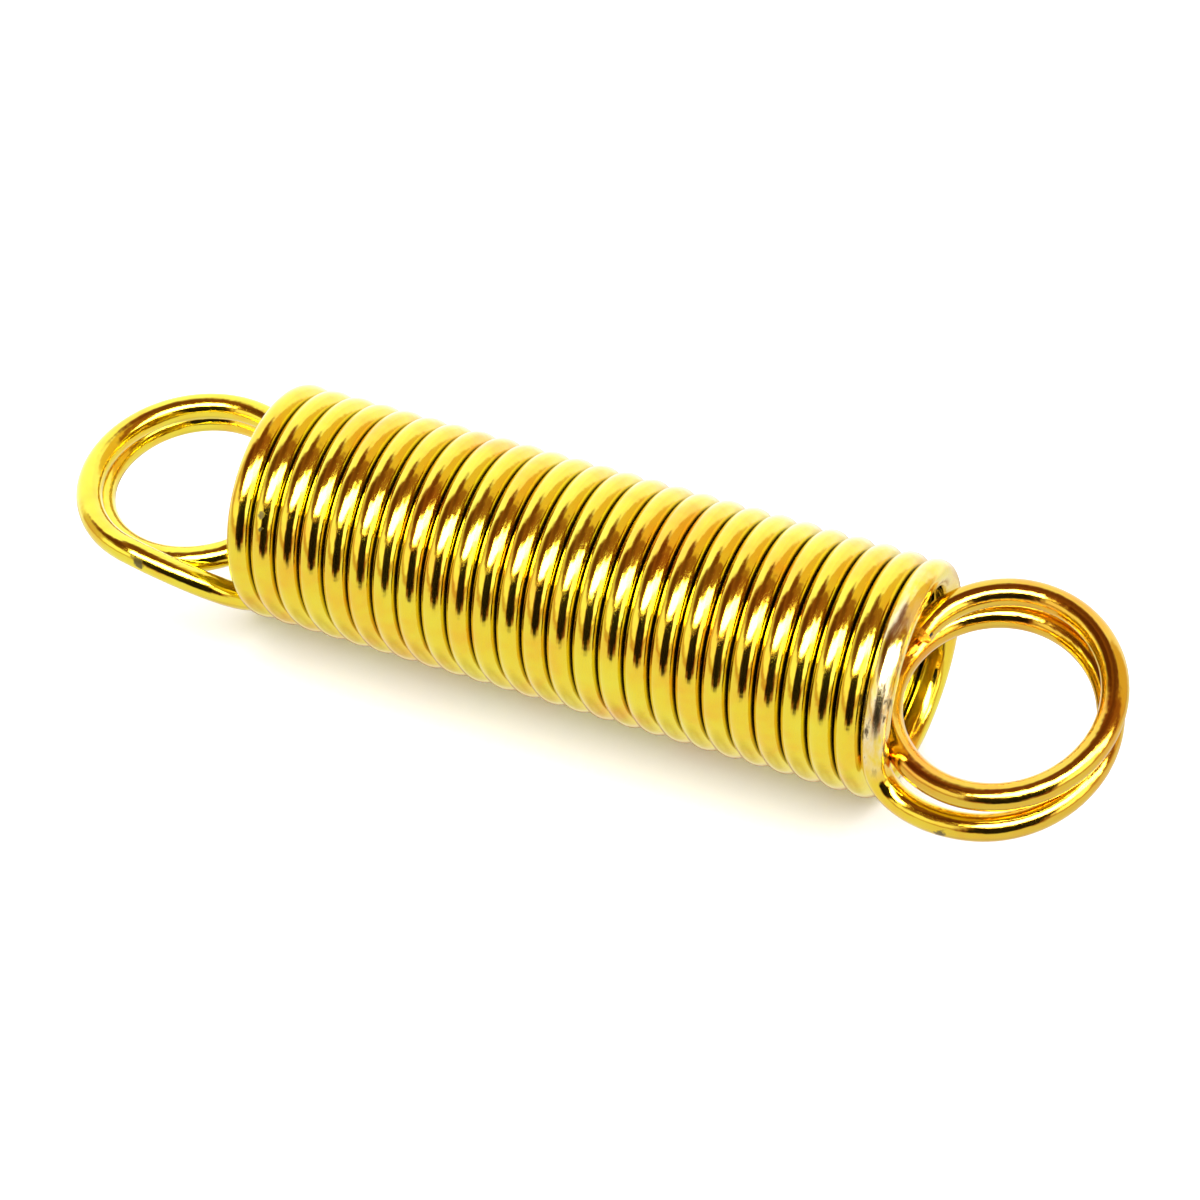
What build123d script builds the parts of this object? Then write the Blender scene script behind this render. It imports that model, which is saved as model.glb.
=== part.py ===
"""Extension spring in round steel wire: a close-wound coil with a double loop at each end.

The spring lies along X, with the centre of its left eye at the origin, on the coil's axis.
The wire leaves the left loop, winds almost 26 times round the axis in a right-hand helix and
ends in the right loop. Each turn of the coil is its own piece, because each turn moves away from
the one before it when the spring is pulled.
"""

from build123d import *
from math import cos, pi, radians, sin
import os

# Wire and coil
wire_diameter = 2.0
coil_outside_diameter = 17.8
winding_gap = 0.02  # between one turn of the closed coil and the next
free_turns = 24  # whole turns that move apart, each its own piece
end_turns = 0.93  # share of a turn left on each end piece, between the free turns and the loop

left_leaving_angle = 60.0  # where the wire leaves the coil, in degrees from the front, turning down

# Loops: two passes of wire, each close to the coil's own size, stacked on the eye's axis
left_loop_flare = 0.45  # how much larger than the coil the first pass starts
left_loop_tightening = 0.64  # how much smaller the second pass is
left_loop_gap = 0.10  # between the two passes
left_loop_tilt = 12.4  # slope of the loop, its far side up
left_loop_lean = (0.70, 1.18)  # how far the second pass moves out along X, and back
left_loop_offset = (0.27, -0.76)  # first pass from the coil's axis, in Y and Z
left_loop_depth = 0.30  # how far the loop's centre line reaches into the coil

right_loop_flare = 0.20
right_loop_tightening = 0.35
right_loop_gap = 0.34
right_loop_tilt = 24.0
right_loop_lean = (0.50, 0.98)
right_loop_offset = (-1.02, -1.01)
right_loop_depth = 1.35

# Degrees round the eye, from its front: where the bend ends and where the wire is cut
left_loop_span = (13.0, 600.0)
right_loop_span = (15.0, 617.0)
bend_reach_left = (5.35, 3.1)  # pull of the coil and of the loop on the bend, in wire diameters
bend_reach_right = (5.9, 5.35)
loop_step = 30.0  # degrees between the points that a loop's centre line passes through
bend_steps = 5

pitch = wire_diameter + winding_gap
coil_radius = (coil_outside_diameter - wire_diameter) / 2
left_leaving_turn = left_leaving_angle / 360
first_free_turn = left_leaving_turn + end_turns
last_free_turn = first_free_turn + free_turns
right_leaving_turn = last_free_turn + end_turns


class Loop:
    """A double loop: an open ring of wire on a leaning, slightly conical helix."""

    def __init__(self, side, flare, tightening, gap, tilt, lean, offset, span):
        self.side = side  # -1 at the left end, +1 at the right end
        self.radius = coil_radius + flare
        self.tightening = tightening
        self.rise = side * (wire_diameter + gap)
        self.tilt = radians(tilt)
        self.lean = lean
        self.offset = offset
        self.span = span
        self.centre_x = 0.0

    def point(self, angle):
        """The centre line at an angle round the eye, in degrees from the loop's front."""
        share = angle / 360
        radius = self.radius - self.tightening * share
        along = self.lean[0] * share + radius * sin(radians(angle))
        across = self.lean[1] * share - radius * cos(radians(angle))
        up = self.rise * share
        return Vector(
            self.centre_x + self.side * along,
            self.offset[0] + across * cos(self.tilt) - up * sin(self.tilt),
            self.offset[1] + across * sin(self.tilt) + up * cos(self.tilt),
        )

    def direction(self, angle):
        """The way the wire runs at that angle."""
        return (self.point(angle + 0.1) - self.point(angle - 0.1)).normalized()


left_loop_line = Loop(-1, left_loop_flare, left_loop_tightening, left_loop_gap, left_loop_tilt,
                      left_loop_lean, left_loop_offset, left_loop_span)
right_loop_line = Loop(1, right_loop_flare, right_loop_tightening, right_loop_gap, right_loop_tilt,
                       right_loop_lean, right_loop_offset, right_loop_span)

# The eye's middle is where the first pass ends and the second begins, on the origin
left_loop_line.centre_x = left_loop_lean[0]
coil_start = left_loop_line.point(270).X - left_loop_depth - pitch * left_leaving_turn
right_loop_line.centre_x = (coil_start + pitch * right_leaving_turn - right_loop_depth
                            - right_loop_line.point(270).X)


def coil_point(turn):
    """The coil's centre line, by turns from the front of the first one."""
    angle = radians(360 * turn)
    return Vector(coil_start + pitch * turn, -coil_radius * cos(angle), -coil_radius * sin(angle))


def coil_direction(turn):
    """The way the wire runs there, towards +X."""
    angle = radians(360 * turn)
    along = pitch / (2 * pi)
    return Vector(along, coil_radius * sin(angle), -coil_radius * cos(angle)).normalized()


def coil_piece(start_turn, end_turn, name):
    """A stretch of the coil: wire of round section along its helix, cut square at both ends."""
    start = coil_point(start_turn)
    foot = Vector(start.X, 0, 0)
    winding = Plane(origin=foot, x_dir=start - foot, z_dir=(1, 0, 0)).location
    helix = winding * Edge.make_helix(pitch, pitch * (end_turn - start_turn), coil_radius)
    with BuildPart() as piece:
        with BuildLine():
            add(helix)
        with BuildSketch(Plane(origin=start, z_dir=coil_direction(start_turn))):
            Circle(wire_diameter / 2)
        sweep(is_frenet=True)
    piece.part.label = name
    return piece.part


def bend_points(start, start_pull, end, end_pull):
    """Points between the coil and a loop on one smooth curve, without its two ends."""
    points = []
    for step in range(1, bend_steps):
        u = step / bend_steps
        points.append(
            start * (2 * u**3 - 3 * u**2 + 1)
            + start_pull * (u**3 - 2 * u**2 + u)
            + end * (3 * u**2 - 2 * u**3)
            + end_pull * (u**3 - u**2)
        )
    return points


def loop_piece(loop, leaving_turn, reach, name):
    """A double loop with the bend that brings the wire out of the coil."""
    start = coil_point(leaving_turn)
    start_way = coil_direction(leaving_turn) * loop.side
    first, last = loop.span
    count = round((last - first) / loop_step)
    angles = [first + (last - first) * n / count for n in range(count + 1)]
    bend = bend_points(start, start_way * (reach[0] * wire_diameter),
                       loop.point(first), loop.direction(first) * (reach[1] * wire_diameter))
    route = [start] + bend + [loop.point(angle) for angle in angles]
    with BuildPart() as piece:
        with BuildLine() as path:
            Spline(route, tangents=(start_way, loop.direction(last)), tangent_scalars=(1, 1))
        with BuildSketch(Plane(origin=start, z_dir=start_way)):
            Circle(wire_diameter / 2)
        sweep(path=path.line)
    piece.part.label = name
    return piece.part


os.makedirs("parts", exist_ok=True)

left_loop = loop_piece(left_loop_line, left_leaving_turn, bend_reach_left, "left_loop")
export_step(left_loop, "parts/left_loop.step")

left_end_turn = coil_piece(left_leaving_turn, first_free_turn, "left_end_turn")
export_step(left_end_turn, "parts/left_end_turn.step")

for number in range(free_turns):
    name = f"turn_{number + 1:02d}"
    turn = coil_piece(first_free_turn + number, first_free_turn + number + 1, name)
    export_step(turn, f"parts/{name}.step")

right_end_turn = coil_piece(last_free_turn, right_leaving_turn, "right_end_turn")
export_step(right_end_turn, "parts/right_end_turn.step")

right_loop = loop_piece(right_loop_line, right_leaving_turn, bend_reach_right, "right_loop")
export_step(right_loop, "parts/right_loop.step")
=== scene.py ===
"""A close-wound extension spring with a double loop at each end, in yellow zinc-plated wire."""

from math import cos, pi, radians, sin, tau

import bpy
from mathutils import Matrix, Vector
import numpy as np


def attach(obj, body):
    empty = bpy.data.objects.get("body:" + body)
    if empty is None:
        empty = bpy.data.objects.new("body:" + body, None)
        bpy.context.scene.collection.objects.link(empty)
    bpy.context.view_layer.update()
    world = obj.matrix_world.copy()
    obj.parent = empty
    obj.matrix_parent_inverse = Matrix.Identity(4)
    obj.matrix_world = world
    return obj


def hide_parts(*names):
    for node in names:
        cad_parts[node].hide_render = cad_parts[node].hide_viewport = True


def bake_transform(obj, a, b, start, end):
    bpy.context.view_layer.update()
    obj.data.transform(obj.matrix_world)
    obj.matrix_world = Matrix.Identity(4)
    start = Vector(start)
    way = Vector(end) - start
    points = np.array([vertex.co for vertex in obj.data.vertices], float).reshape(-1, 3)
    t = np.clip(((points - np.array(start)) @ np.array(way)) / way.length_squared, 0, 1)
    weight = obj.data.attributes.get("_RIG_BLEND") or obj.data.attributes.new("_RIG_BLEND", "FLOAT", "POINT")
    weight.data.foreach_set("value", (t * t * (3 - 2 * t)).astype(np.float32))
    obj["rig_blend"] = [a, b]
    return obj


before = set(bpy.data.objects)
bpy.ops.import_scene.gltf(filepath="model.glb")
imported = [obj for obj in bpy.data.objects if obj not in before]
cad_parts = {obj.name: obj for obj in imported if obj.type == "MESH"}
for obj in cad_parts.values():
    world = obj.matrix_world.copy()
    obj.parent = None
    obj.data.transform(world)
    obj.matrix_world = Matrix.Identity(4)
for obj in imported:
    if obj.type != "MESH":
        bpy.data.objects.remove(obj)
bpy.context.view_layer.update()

# ---------------------------------------------------------------------------------------------
# The wire's surface
# Hard-drawn spring steel, zinc plated after winding, then dipped in a yellow chromate. The film
# is a few hundred nanometres thick, so it shines like brass and drifts between lemon, orange and
# a touch of green, with faint lines along the wire from the drawing die.
# ---------------------------------------------------------------------------------------------
MM = 0.001


def linear(hex_colour):
    """An sRGB hex colour as linear RGBA."""
    values = [int(hex_colour[i : i + 2], 16) / 255 for i in (1, 3, 5)]
    return [v / 12.92 if v <= 0.04045 else ((v + 0.055) / 1.055) ** 2.4 for v in values] + [1.0]


def add_node(tree, kind, settings=None, **links):
    """A node with its settings, and its inputs linked to sockets or set to values."""
    node = tree.nodes.new(kind)
    for name, value in (settings or {}).items():
        setattr(node, name, value)
    for name, value in links.items():
        socket = node.inputs[int(name[1:]) if name[0] == "i" and name[1:].isdigit() else name.replace("_", " ")]
        if isinstance(value, bpy.types.NodeSocket):
            tree.links.new(value, socket)
        else:
            socket.default_value = value
    return node


def yellow_zinc(name, rubbed=None, knocks=()):
    """Yellow-chromated zinc plate. rubbed is the stretch of wire, in mm, worn back to bare zinc,
    and knocks are small damaged spots, each its place and reach in mm."""
    material = bpy.data.materials.new(name)
    material.use_nodes = True
    tree = material.node_tree
    tree.nodes.clear()
    wire = add_node(tree, "ShaderNodeAttribute", {"attribute_name": "straightened"}).outputs["Vector"]
    place = add_node(tree, "ShaderNodeTexCoord").outputs["Object"]

    # the film's thickness drifts over 5 mm or so: lemon where thin, orange where thick
    drift = add_node(tree, "ShaderNodeTexNoise", Vector=place, Scale=1 / (5 * MM), Detail=3.0, Roughness=0.6)
    film = add_node(tree, "ShaderNodeValToRGB", Fac=drift.outputs["Fac"])
    film.color_ramp.elements[0].position = 0.34
    film.color_ramp.elements[0].color = linear("#EDDD40")
    film.color_ramp.elements[1].position = 0.70
    film.color_ramp.elements[1].color = linear("#F0BE34")
    film.color_ramp.elements.new(0.5).color = linear("#EED538")
    colour = film.outputs["Color"]

    # painted shade: where turns touch, the wire's sides are darkened to a dull olive line, standing in for the
    # shade between the turns
    crowded = add_node(tree, "ShaderNodeAttribute", {"attribute_name": "groove_shade"}).outputs["Fac"]
    groove_shade = add_node(tree, "ShaderNodeMapRange", {"interpolation_type": "SMOOTHSTEP"}, Value=crowded,
                      i1=0.84, i2=0.97, i3=0.0, i4=0.85).outputs["Result"]
    colour = add_node(tree, "ShaderNodeMix", {"data_type": "RGBA"}, i0=groove_shade, i6=colour,
                      i7=linear("#76701C")).outputs[2]

    # fine streaks drawn out along the wire, about 0.4 mm across
    stretched = add_node(tree, "ShaderNodeMapping", Vector=wire, Scale=(0.03, 1.0, 1.0))
    lines = add_node(tree, "ShaderNodeTexNoise", Vector=stretched.outputs["Vector"], Scale=1 / (0.4 * MM),
                     Detail=3.0, Roughness=0.6)
    # the plating bath leaves a faint orange peel, 0.7 mm across
    peel = add_node(tree, "ShaderNodeTexNoise", Vector=wire, Scale=1 / (0.7 * MM), Detail=1.0, Roughness=0.5)
    height = add_node(tree, "ShaderNodeMath", {"operation": "MULTIPLY_ADD"}, i0=lines.outputs["Fac"], i1=1.8,
                      i2=peel.outputs["Fac"]).outputs[0]
    height = add_node(tree, "ShaderNodeMath", {"operation": "MULTIPLY_ADD"}, i0=peel.outputs["Fac"], i1=2.0,
                      i2=height).outputs[0]
    bump = add_node(tree, "ShaderNodeBump", Strength=0.6, Distance=0.012 * MM, Height=height)
    gloss = add_node(tree, "ShaderNodeMapRange", Value=lines.outputs["Fac"], i1=0.3, i2=0.7, i3=0.09,
                     i4=0.16).outputs["Result"]

    if rubbed:
        begins, ends = rubbed
        along, out, _ = add_node(tree, "ShaderNodeSeparateXYZ", i0=wire).outputs
        # past the coil the loop is tinted redder and duller: partly its film, thicker where it hung lowest in the
        # bath, and partly a painted reflection that darkens it towards the deeper brown it mirrors
        thick_film_and_reflection = add_node(tree, "ShaderNodeMapRange", {"interpolation_type": "SMOOTHSTEP"}, Value=along,
                        i1=ends * MM, i2=(ends + 15) * MM, i3=0.0, i4=1.0).outputs["Result"]
        colour = add_node(tree, "ShaderNodeMix", {"data_type": "RGBA", "blend_type": "MULTIPLY"}, i0=thick_film_and_reflection,
                          i6=colour, i7=linear("#EED9F0")).outputs[2]
        rising = add_node(tree, "ShaderNodeMapRange", {"interpolation_type": "SMOOTHSTEP"}, Value=along,
                          i1=(begins - 5) * MM, i2=(begins + 5) * MM, i3=0.0, i4=1.0).outputs["Result"]
        falling = add_node(tree, "ShaderNodeMapRange", {"interpolation_type": "SMOOTHSTEP"}, Value=along,
                           i1=(ends - 2) * MM, i2=(ends + 2) * MM, i3=1.0, i4=0.0).outputs["Result"]
        stretch = add_node(tree, "ShaderNodeMath", {"operation": "MULTIPLY"}, i0=rising, i1=falling).outputs[0]
        # only the outward side of the wire is rubbed
        outside = add_node(tree, "ShaderNodeMapRange", {"interpolation_type": "SMOOTHSTEP"}, Value=out,
                           i1=-0.1 * MM, i2=0.5 * MM, i3=0.0, i4=1.0).outputs["Result"]
        stretch = add_node(tree, "ShaderNodeMath", {"operation": "MULTIPLY"}, i0=stretch, i1=outside).outputs[0]
        # rubbing takes the film off in ragged patches a millimetre or two long
        ragged = add_node(tree, "ShaderNodeMapping", Vector=wire, Scale=(0.45, 1.0, 1.0))
        patches = add_node(tree, "ShaderNodeTexNoise", Vector=ragged.outputs["Vector"], Scale=1 / (1.1 * MM),
                           Detail=4.0, Roughness=0.6).outputs["Fac"]
        bare = add_node(tree, "ShaderNodeMapRange", Value=patches, i1=0.36, i2=0.56, i3=0.0,
                        i4=0.9).outputs["Result"]
        bare = add_node(tree, "ShaderNodeMath", {"operation": "MULTIPLY"}, i0=bare, i1=stretch).outputs[0]
        colour = add_node(tree, "ShaderNodeMix", {"data_type": "RGBA"}, i0=bare, i6=colour,
                          i7=linear("#F2E2B4")).outputs[2]
        # dark oxide sits in the deepest rubs, nearer the loop
        smudges = add_node(tree, "ShaderNodeMapRange", Value=patches, i1=0.56, i2=0.62, i3=0.0,
                           i4=0.9).outputs["Result"]
        low = add_node(tree, "ShaderNodeMapRange", {"interpolation_type": "SMOOTHSTEP"}, Value=along,
                       i1=(ends - 9) * MM, i2=(ends - 6) * MM, i3=0.0, i4=1.0).outputs["Result"]
        smudges = add_node(tree, "ShaderNodeMath", {"operation": "MULTIPLY"}, i0=smudges, i1=low).outputs[0]
        smudges = add_node(tree, "ShaderNodeMath", {"operation": "MULTIPLY"}, i0=smudges, i1=stretch).outputs[0]
        colour = add_node(tree, "ShaderNodeMix", {"data_type": "RGBA"}, i0=smudges, i6=colour,
                          i7=linear("#43321E")).outputs[2]
        gloss = add_node(tree, "ShaderNodeMath", {"operation": "MULTIPLY_ADD"}, i0=bare, i1=0.12,
                         i2=gloss).outputs[0]
        gloss = add_node(tree, "ShaderNodeMath", {"operation": "MULTIPLY_ADD"}, i0=smudges, i1=0.2,
                         i2=gloss).outputs[0]

    # knocks go through the plate and leave dull brown-grey spots with ragged edges
    specks = add_node(tree, "ShaderNodeTexNoise", Vector=place, Scale=1 / (0.45 * MM),
                      Detail=2.0).outputs["Fac"]
    for *spot, reach in knocks:
        away = add_node(tree, "ShaderNodeVectorMath", {"operation": "DISTANCE"}, i0=place,
                        i1=[v * MM for v in spot]).outputs["Value"]
        away = add_node(tree, "ShaderNodeMath", {"operation": "MULTIPLY_ADD"}, i0=specks, i1=1.6 * reach * MM,
                        i2=away).outputs[0]
        hit = add_node(tree, "ShaderNodeMapRange", {"interpolation_type": "SMOOTHSTEP"}, Value=away,
                       i1=1.2 * reach * MM, i2=1.5 * reach * MM, i3=0.85, i4=0.0).outputs["Result"]
        colour = add_node(tree, "ShaderNodeMix", {"data_type": "RGBA"}, i0=hit, i6=colour,
                          i7=linear("#4C4234")).outputs[2]
        gloss = add_node(tree, "ShaderNodeMath", {"operation": "MULTIPLY_ADD"}, i0=hit, i1=0.3,
                         i2=gloss).outputs[0]

    shader = add_node(tree, "ShaderNodeBsdfPrincipled", Base_Color=colour, Metallic=1.0, Roughness=gloss,
                      Coat_Weight=0.35, Coat_Roughness=0.06, Normal=bump.outputs["Normal"])
    add_node(tree, "ShaderNodeOutputMaterial", Surface=shader.outputs["BSDF"])
    return material


plated_wire = yellow_zinc(
    "yellow_chromate_zinc_plate",
    knocks=((0.75, -8.67, -2.65, 0.8), (11.36, -7.73, 4.40, 0.45), (11.5, -8.1, 3.4, 0.35)),
)

# ---------------------------------------------------------------------------------------------
# The coil, 25 turns
# Round wire of 2 mm wound on a mandrel with every turn touching the next. Each turn here reaches
# from the middle of one rigid ring to the middle of the next, and gives along its whole length,
# as the real wire does when the spring is pulled.
# ---------------------------------------------------------------------------------------------
WIRE_RADIUS = 1.0 * MM
COIL_RADIUS = 7.9 * MM
PITCH = 2.02 * MM
COIL_START = 7.40833 * MM
LEAVES_LEFT = 60 / 360  # in turns from the front, where the wire leaves the coil on the left
END_SHARE = 0.93
FREE_TURNS = 24
FIRST_GIVING = LEAVES_LEFT + END_SHARE - 0.5
LEAVES_RIGHT = LEAVES_LEFT + 2 * END_SHARE + FREE_TURNS
WIRE_SIDES = 28
TURN_STEPS = 144

bodies = ["left_end"] + [f"turn_{n + 1:02d}" for n in range(FREE_TURNS)] + ["right_end"]


def coil_point(turn):
    """The coil's centre line, by turns from the front of the first one."""
    return Vector((COIL_START + PITCH * turn, -COIL_RADIUS * cos(tau * turn), -COIL_RADIUS * sin(tau * turn)))


def coil_direction(turn):
    """The way the wire runs there, towards +X."""
    return Vector((PITCH / tau, COIL_RADIUS * sin(tau * turn), -COIL_RADIUS * cos(tau * turn))).normalized()


def coil_neighbours(turn):
    """The direction of the next turn, and whether there is one before and one after this place."""
    return Vector((1, 0, 0)), turn - 1 > LEAVES_LEFT, turn + 1 < LEAVES_RIGHT


def straighten(mesh, route, neighbours, start_length, heading=1):
    """Gives each point its place on the wire as if it were pulled straight: how far along, how far
    out, and how far towards the next turn. The groove mask is 1 where it touches that turn and sets
    where shade is painted between the turns; heading is -1 where the route runs against the winding."""
    sides = len(mesh.vertices) // len(route)
    mesh.attributes.new("straightened", "FLOAT_VECTOR", "POINT")
    mesh.attributes.new("groove_shade", "FLOAT", "POINT")
    straight, groove_shade = mesh.attributes["straightened"], mesh.attributes["groove_shade"]
    along = start_length
    for ring, (place, (beside, one_before, one_after)) in enumerate(zip(route, neighbours)):
        before, after = route[max(ring - 1, 0)], route[min(ring + 1, len(route) - 1)]
        way = (after - before).normalized() * heading
        out = way.cross(beside).normalized()
        across = out.cross(way)
        for n in range(ring * sides, (ring + 1) * sides):
            offset = mesh.vertices[n].co - place
            side = offset.dot(across)
            straight.data[n].vector = (along, offset.dot(out), side)
            # this mask sets the painted shade on the wire's sides where it touches the turn before or after
            groove_shade.data[n].value = max(side * one_after, -side * one_before, 0) / WIRE_RADIUS
        if ring + 1 < len(route):
            along += (after - place).length * heading


bpy.ops.object.select_all(action="DESELECT")
start = coil_point(FIRST_GIVING)
way = coil_direction(FIRST_GIVING)
bpy.ops.mesh.primitive_circle_add(vertices=WIRE_SIDES, radius=WIRE_RADIUS, location=start)
turn = bpy.context.object
turn.rotation_mode = "QUATERNION"
turn.rotation_quaternion = way.to_track_quat("Z", "X")
bpy.ops.object.transform_apply(location=True, rotation=True, scale=True)
winding = turn.modifiers.new("winding", "SCREW")
winding.axis = "X"
winding.angle = tau
winding.screw_offset = PITCH
winding.steps = TURN_STEPS
winding.render_steps = TURN_STEPS
winding.use_merge_vertices = False
bpy.ops.object.modifier_apply(modifier="winding")
turn_length = (tau**2 * COIL_RADIUS**2 + PITCH**2) ** 0.5
bpy.ops.object.mode_set(mode="EDIT")
bpy.ops.mesh.select_all(action="SELECT")
bpy.ops.mesh.fill_holes(sides=0)
bpy.ops.mesh.select_all(action="SELECT")
bpy.ops.mesh.normals_make_consistent(inside=False)
bpy.ops.object.mode_set(mode="OBJECT")
bpy.ops.object.shade_smooth_by_angle(angle=radians(50))
turn.data.materials.append(plated_wire)

coil = [turn]
for number in range(1, FREE_TURNS + 1):
    bpy.ops.object.select_all(action="DESELECT")
    turn.select_set(True)
    bpy.context.view_layer.objects.active = turn
    bpy.ops.object.duplicate(linked=False)
    copy = bpy.context.object
    bpy.ops.transform.translate(value=(PITCH * number, 0, 0))
    bpy.ops.object.transform_apply(location=True, rotation=True, scale=True)
    coil.append(copy)

for number, piece in enumerate(coil):
    piece.name = f"coil_{number + 1:02d}"
    turns = [FIRST_GIVING + number + n / TURN_STEPS for n in range(TURN_STEPS + 1)]
    straighten(piece.data, [coil_point(t) for t in turns], [coil_neighbours(t) for t in turns],
               turn_length * number)
    middle_x = COIL_START + PITCH * (FIRST_GIVING + number)
    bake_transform(piece, bodies[number], bodies[number + 1], (middle_x, 0, 0), (middle_x + PITCH, 0, 0))
    # the turn gives evenly round its length, so the share follows the winding and not the X axis
    for n, value in enumerate(piece.data.attributes["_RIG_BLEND"].data):
        value.value = min(n // WIRE_SIDES, TURN_STEPS) / TURN_STEPS
    if number < FREE_TURNS:
        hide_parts(bodies[number + 1])

# ---------------------------------------------------------------------------------------------
# The two ends
# The same wire, bent out of the last turn and wound twice round a pin into a full loop about as
# wide as the coil. The ends are sheared off and left free against the coil.
# ---------------------------------------------------------------------------------------------
LOOP_STEP = 3  # degrees between the rings of the wire round a loop
BEND_STEPS = 24  # rings of the wire between the coil and a loop

# the sheared end face is torn, with a rough bump, and coloured a mottled dull dark brown
sheared_steel = bpy.data.materials.new("dark_sheared_end")
sheared_steel.use_nodes = True
tree = sheared_steel.node_tree
tree.nodes.clear()
place = add_node(tree, "ShaderNodeTexCoord").outputs["Object"]
mottle = add_node(tree, "ShaderNodeTexNoise", Vector=place, Scale=1 / (0.5 * MM), Detail=4.0, Roughness=0.6)
browned = add_node(tree, "ShaderNodeValToRGB", Fac=mottle.outputs["Fac"])
browned.color_ramp.elements[0].position = 0.35
browned.color_ramp.elements[0].color = linear("#1E150E")
browned.color_ramp.elements[1].position = 0.7
browned.color_ramp.elements[1].color = linear("#4E3A28")
torn = add_node(tree, "ShaderNodeBump", Strength=0.7, Distance=0.04 * MM, Height=mottle.outputs["Fac"])
shader = add_node(tree, "ShaderNodeBsdfPrincipled", Base_Color=browned.outputs["Color"], Metallic=0.0,
                  Roughness=0.7, Normal=torn.outputs["Normal"])
add_node(tree, "ShaderNodeOutputMaterial", Surface=shader.outputs["BSDF"])


def loop_line(side, radius, tightening, rise, tilt, lean, offset, centre_x):
    """Points of a double loop's centre line, by degrees round the eye."""

    def point(angle):
        share = angle / 360
        bend = radius - tightening * share
        along = lean[0] * share + bend * sin(radians(angle))
        across = lean[1] * share - bend * cos(radians(angle))
        up = side * rise * share
        return Vector((
            centre_x + side * along,
            offset[0] + across * cos(radians(tilt)) - up * sin(radians(tilt)),
            offset[1] + across * sin(radians(tilt)) + up * cos(radians(tilt)),
        )) * MM

    return point


def end_route(side, loop, first_angle, last_angle, tilt, pulls, leaves, gives):
    """The wire's centre line from the last giving turn, round the coil, out and round the loop,
    and what lies beside it at each of its points."""
    count = round(abs(gives - leaves) * TURN_STEPS)
    turns = [gives + (leaves - gives) * n / count for n in range(count)]
    route = [coil_point(turn) for turn in turns]
    neighbours = [coil_neighbours(turn) for turn in turns]
    start, way = coil_point(leaves), coil_direction(leaves) * side
    end = loop(first_angle)
    end_way = (loop(first_angle + 0.1) - loop(first_angle - 0.1)).normalized()
    for n in range(BEND_STEPS):
        u = n / BEND_STEPS
        route.append(start * (2 * u**3 - 3 * u**2 + 1) + way * pulls[0] * MM * (u**3 - 2 * u**2 + u)
                     + end * (3 * u**2 - 2 * u**3) + end_way * pulls[1] * MM * (u**3 - u**2))
    steps = round((last_angle - first_angle) / LOOP_STEP)
    route += [loop(first_angle + (last_angle - first_angle) * n / steps) for n in range(steps + 1)]
    eye_axis = Vector((0, -sin(radians(tilt)), cos(radians(tilt))))
    neighbours += [(Vector((1, 0, 0)).lerp(eye_axis, n / BEND_STEPS), 0, 0) for n in range(BEND_STEPS)]
    neighbours += [(eye_axis, 0, 0)] * (steps + 1)
    return route, neighbours


def bend_wire(name, route, neighbours, start_length, heading, finish):
    """Wire bent along a line of points, its last end sheared square."""
    bpy.ops.object.select_all(action="DESELECT")
    bpy.ops.curve.primitive_nurbs_path_add()
    wire = bpy.context.object
    wire.name = name
    curve = wire.data
    curve.splines.clear()
    line = curve.splines.new("POLY")
    line.points.add(len(route) - 1)
    for point, place in zip(line.points, route):
        point.co = (*place, 1.0)
    curve.bevel_depth = WIRE_RADIUS
    curve.bevel_resolution = WIRE_SIDES // 2 - 2
    curve.use_fill_caps = True
    curve.twist_mode = "MINIMUM"
    bpy.ops.object.convert(target="MESH")
    wire = bpy.context.object
    bpy.ops.object.mode_set(mode="EDIT")
    bpy.ops.mesh.select_all(action="SELECT")
    bpy.ops.mesh.remove_doubles(threshold=0.001 * MM)
    bpy.ops.mesh.normals_make_consistent(inside=False)
    bpy.ops.object.mode_set(mode="OBJECT")
    bpy.ops.object.transform_apply(location=True, rotation=True, scale=True)
    bpy.ops.object.shade_smooth_by_angle(angle=radians(50))
    straighten(wire.data, route, neighbours, start_length, heading)
    wire.data.materials.append(finish)
    wire.data.materials.append(sheared_steel)
    first_of_last_ring = len(wire.data.vertices) // len(route) * (len(route) - 1)
    for face in wire.data.polygons:
        if min(face.vertices) >= first_of_last_ring:
            face.material_index = 1
    return wire


left_line = loop_line(side=-1, radius=8.35, tightening=0.64, rise=2.10, tilt=12.4, lean=(0.70, 1.18),
                      offset=(0.27, -0.76), centre_x=0.70)
left_route, left_neighbours = end_route(side=-1, loop=left_line, first_angle=13, last_angle=600, tilt=12.4,
                                        pulls=(10.7, 6.2), leaves=LEAVES_LEFT, gives=FIRST_GIVING)
left_wire = bend_wire("left_end_wire", left_route, left_neighbours, 0, -1, plated_wire)
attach(left_wire, "left_end")
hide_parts("left_loop", "left_end_turn")

right_line = loop_line(side=1, radius=8.10, tightening=0.35, rise=2.34, tilt=24.0, lean=(0.50, 0.98),
                       offset=(-1.02, -1.01), centre_x=66.0947)
right_route, right_neighbours = end_route(side=1, loop=right_line, first_angle=15, last_angle=617, tilt=24.0,
                                          pulls=(11.8, 10.7), leaves=LEAVES_RIGHT,
                                          gives=FIRST_GIVING + FREE_TURNS + 1)
rubbed_wire = yellow_zinc("rubbed_yellow_chromate_zinc_plate", rubbed=(1250, 1263),
                          knocks=((65.69, -9.33, -4.71, 0.7),))
right_wire = bend_wire("right_end_wire", right_route, right_neighbours, turn_length * (FREE_TURNS + 1), 1,
                       rubbed_wire)
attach(right_wire, "right_end")
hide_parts("right_loop", "right_end_turn")

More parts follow.
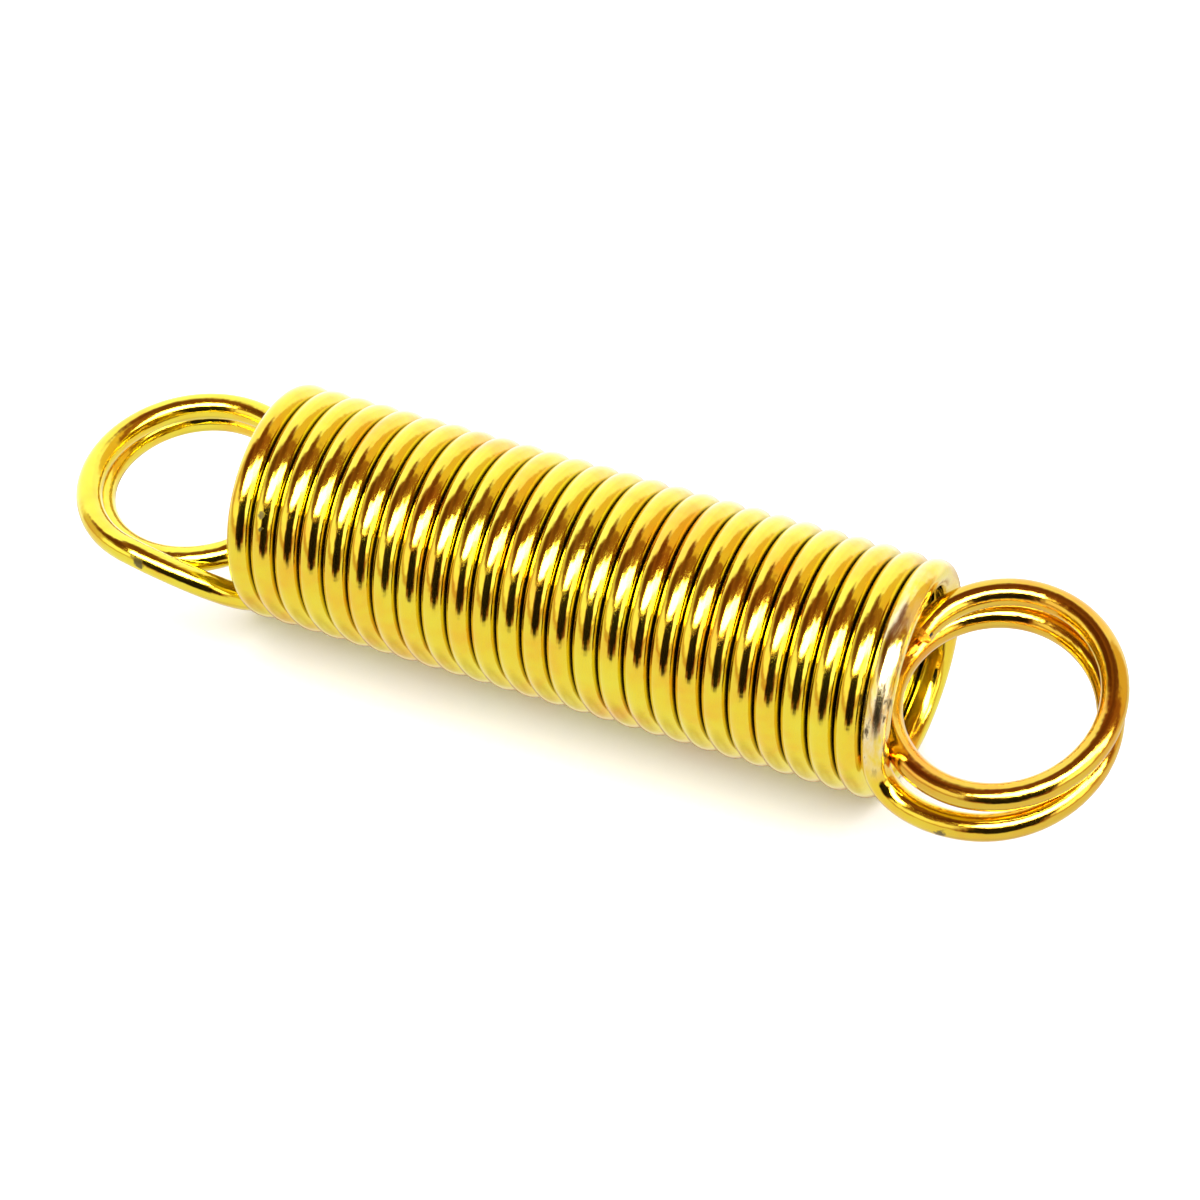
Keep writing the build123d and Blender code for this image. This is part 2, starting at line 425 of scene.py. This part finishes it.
# ---------------------------------------------------------------------------------------------
# The table and the studio round it
# A white sheet under the spring. The wire mirrors a bright table, a white window above a dark
# figure in front, a brown ceiling and a pale room behind.
# ---------------------------------------------------------------------------------------------
FLOOR_Z = -8.9 * MM
SPRING_MIDDLE = 33 * MM  # along X
bpy.ops.object.select_all(action="DESELECT")
bpy.ops.mesh.primitive_plane_add(size=4.0, location=(SPRING_MIDDLE, 0, FLOOR_Z))
floor = bpy.context.object
floor.name = "table"
paper = bpy.data.materials.new("white_paper")
paper.use_nodes = True
paper.node_tree.nodes["Principled BSDF"].inputs["Base Color"].default_value = linear("#F3F4FA")
paper.node_tree.nodes["Principled BSDF"].inputs["Roughness"].default_value = 0.9
floor.data.materials.append(paper)
floor.visible_glossy = False

world = bpy.data.worlds.new("studio")
bpy.context.scene.world = world
world.use_nodes = True
sky = world.node_tree
sky.nodes.clear()
look = add_node(sky, "ShaderNodeTexCoord").outputs["Generated"]


def panel(under, azimuth, elevation, half_wide, half_high, soft, colour, strength=1.0, slope=0.0):
    """A soft-edged patch of light or dark laid over what is under it, its sizes in degrees. Its
    height falls by slope for each degree to the right."""
    right = add_node(sky, "ShaderNodeMath", {"operation": "SUBTRACT"}, i0=turned, i1=radians(azimuth)).outputs[0]
    right = add_node(sky, "ShaderNodeMath", {"operation": "WRAP"}, i0=right, i1=pi, i2=-pi).outputs[0]
    up = add_node(sky, "ShaderNodeMath", {"operation": "SUBTRACT"}, i0=raised, i1=radians(elevation)).outputs[0]
    up = add_node(sky, "ShaderNodeMath", {"operation": "MULTIPLY_ADD"}, i0=right, i1=slope, i2=up).outputs[0]
    share = 1.0
    for size, half in ((right, half_wide), (up, half_high)):
        off_middle = add_node(sky, "ShaderNodeMath", {"operation": "ABSOLUTE"}, i0=size).outputs[0]
        edge = add_node(sky, "ShaderNodeMapRange", {"interpolation_type": "SMOOTHSTEP"}, Value=off_middle,
                        i1=radians(half - soft), i2=radians(half + soft), i3=1.0, i4=0.0).outputs["Result"]
        share = add_node(sky, "ShaderNodeMath", {"operation": "MULTIPLY"}, i0=share, i1=edge).outputs[0]
    lit = [v * strength for v in linear(colour)[:3]] + [1.0]
    return add_node(sky, "ShaderNodeMix", {"data_type": "RGBA"}, i0=share, i6=under, i7=lit).outputs[2]


part = add_node(sky, "ShaderNodeSeparateXYZ", i0=look).outputs
front = add_node(sky, "ShaderNodeMath", {"operation": "MULTIPLY"}, i0=part["Y"], i1=-1.0).outputs[0]
# azimuth from the front, turning to the right, and elevation
turned = add_node(sky, "ShaderNodeMath", {"operation": "ARCTAN2"}, i0=part["X"], i1=front).outputs[0]
raised = add_node(sky, "ShaderNodeMath", {"operation": "ARCSINE"}, i0=part["Z"]).outputs[0]
up_share = add_node(sky, "ShaderNodeMath", {"operation": "MULTIPLY_ADD"}, i0=raised, i1=1 / pi, i2=0.5).outputs[0]
room = add_node(sky, "ShaderNodeValToRGB", Fac=up_share)
bands = room.color_ramp
bands.elements[0].position = 0.0
bands.elements[0].color = linear("#F4F2EE")
bands.elements[1].position = 1.0
bands.elements[1].color = linear("#6C3C22")
# from straight down to straight up: the sheet, its far edge, the room and a brown ceiling
for degrees_up, colour in ((-78, "#E8E0D0"), (-62, "#FFFDFA"), (-11, "#FFFDFA"), (-4, "#D8A878"),
                           (3, "#E8D4B0"), (25, "#E8D4B4"), (38, "#B07850"), (62, "#9C6040"), (78, "#784024")):
    bands.elements.new(0.5 + degrees_up / 180).color = linear(colour)
light = room.outputs["Color"]
light = panel(light, -155, -45, 32, 12, 8, "#C0A080")  # shade under the coil
light = panel(light, -138, 22, 46, 44, 6, "#E4E8FF", 1.75)  # pale wall on the left
light = panel(light, 166, 28, 16, 42, 8, "#ECE8FF", 1.6)  # pale wall behind
light = panel(light, 132, 34, 19, 36, 5, "#F8D48C")  # the same wall in warmer light
light = panel(light, -58, 47, 27, 17, 8, "#6C3410", 0.8)  # brown shelf on the left
light = panel(light, -32, 33, 20, 6, 5, "#8C5830")  # its lower shelf
light = panel(light, -39, 14, 26, 11, 3, "#FFFCFF", 1.3)  # pale wall under it
light = panel(light, 20, 8, 32, 24, 5, "#A05020")  # shade round the figure
light = panel(light, 19, 9, 28, 20, 3, "#140805")  # dark figure in front
light = panel(light, 19, -13, 13, 6, 4, "#140805")  # its narrower lower part
light = panel(light, 23, 46, 39, 11, 2.5, "#FFFFFF", 20.0)  # window over it
light = panel(light, 74, 35, 20, 10, 3, "#FFFFFF", 14.0, slope=0.8)  # its right leaf, swung out
light = panel(light, 66, 15, 15, 12, 5, "#FFFFFF", 2.5)  # light from below it
light = panel(light, 105, 48, 8, 44, 4, "#A06840")  # door post on the right
mirrored = add_node(sky, "ShaderNodeBackground", Color=light, Strength=1.0)
# the table itself and the open air get even light, so the sheet stays white
even = add_node(sky, "ShaderNodeBackground", Color=linear("#FFFEFA"), Strength=1.9)
ray = add_node(sky, "ShaderNodeLightPath").outputs["Is Glossy Ray"]
studio = add_node(sky, "ShaderNodeMixShader", i0=ray, i1=even.outputs["Background"],
                  i2=mirrored.outputs["Background"])
add_node(sky, "ShaderNodeOutputWorld", Surface=studio.outputs["Shader"])

# a softbox behind and above, which lights the table but isn't mirrored in the wire
azimuth, elevation, distance = radians(150), radians(66), 0.6
way = Vector((sin(azimuth) * cos(elevation), -cos(azimuth) * cos(elevation), sin(elevation)))
softbox = bpy.data.lights.new("overhead_softbox", "AREA")
softbox.shape = "SQUARE"
softbox.size = 0.5
softbox.energy = 1.5
box = bpy.data.objects.new("overhead_softbox", softbox)
bpy.context.scene.collection.objects.link(box)
box.location = Vector((SPRING_MIDDLE, 0, 0)) + way * distance
box.rotation_mode = "QUATERNION"
box.rotation_quaternion = way.to_track_quat("Z", "Y")
box.visible_glossy = False

# ---------------------------------------------------------------------------------------------
# The camera
# A long lens looking down on the spring from the front right.
# ---------------------------------------------------------------------------------------------
lens = bpy.data.cameras.new("camera")
lens.lens = 118.16
lens.sensor_width = 36.0
lens.clip_start = 0.01
lens.clip_end = 20.0
camera = bpy.data.objects.new("camera", lens)
bpy.context.scene.collection.objects.link(camera)
camera.location = (0.13496, -0.20664, 0.17221)
camera.rotation_mode = "QUATERNION"
camera.rotation_quaternion = Vector((0.3478, -0.7188, 0.6020)).to_track_quat("Z", "Y")
bpy.context.scene.camera = camera
bpy.context.scene.view_settings.view_transform = "Standard"
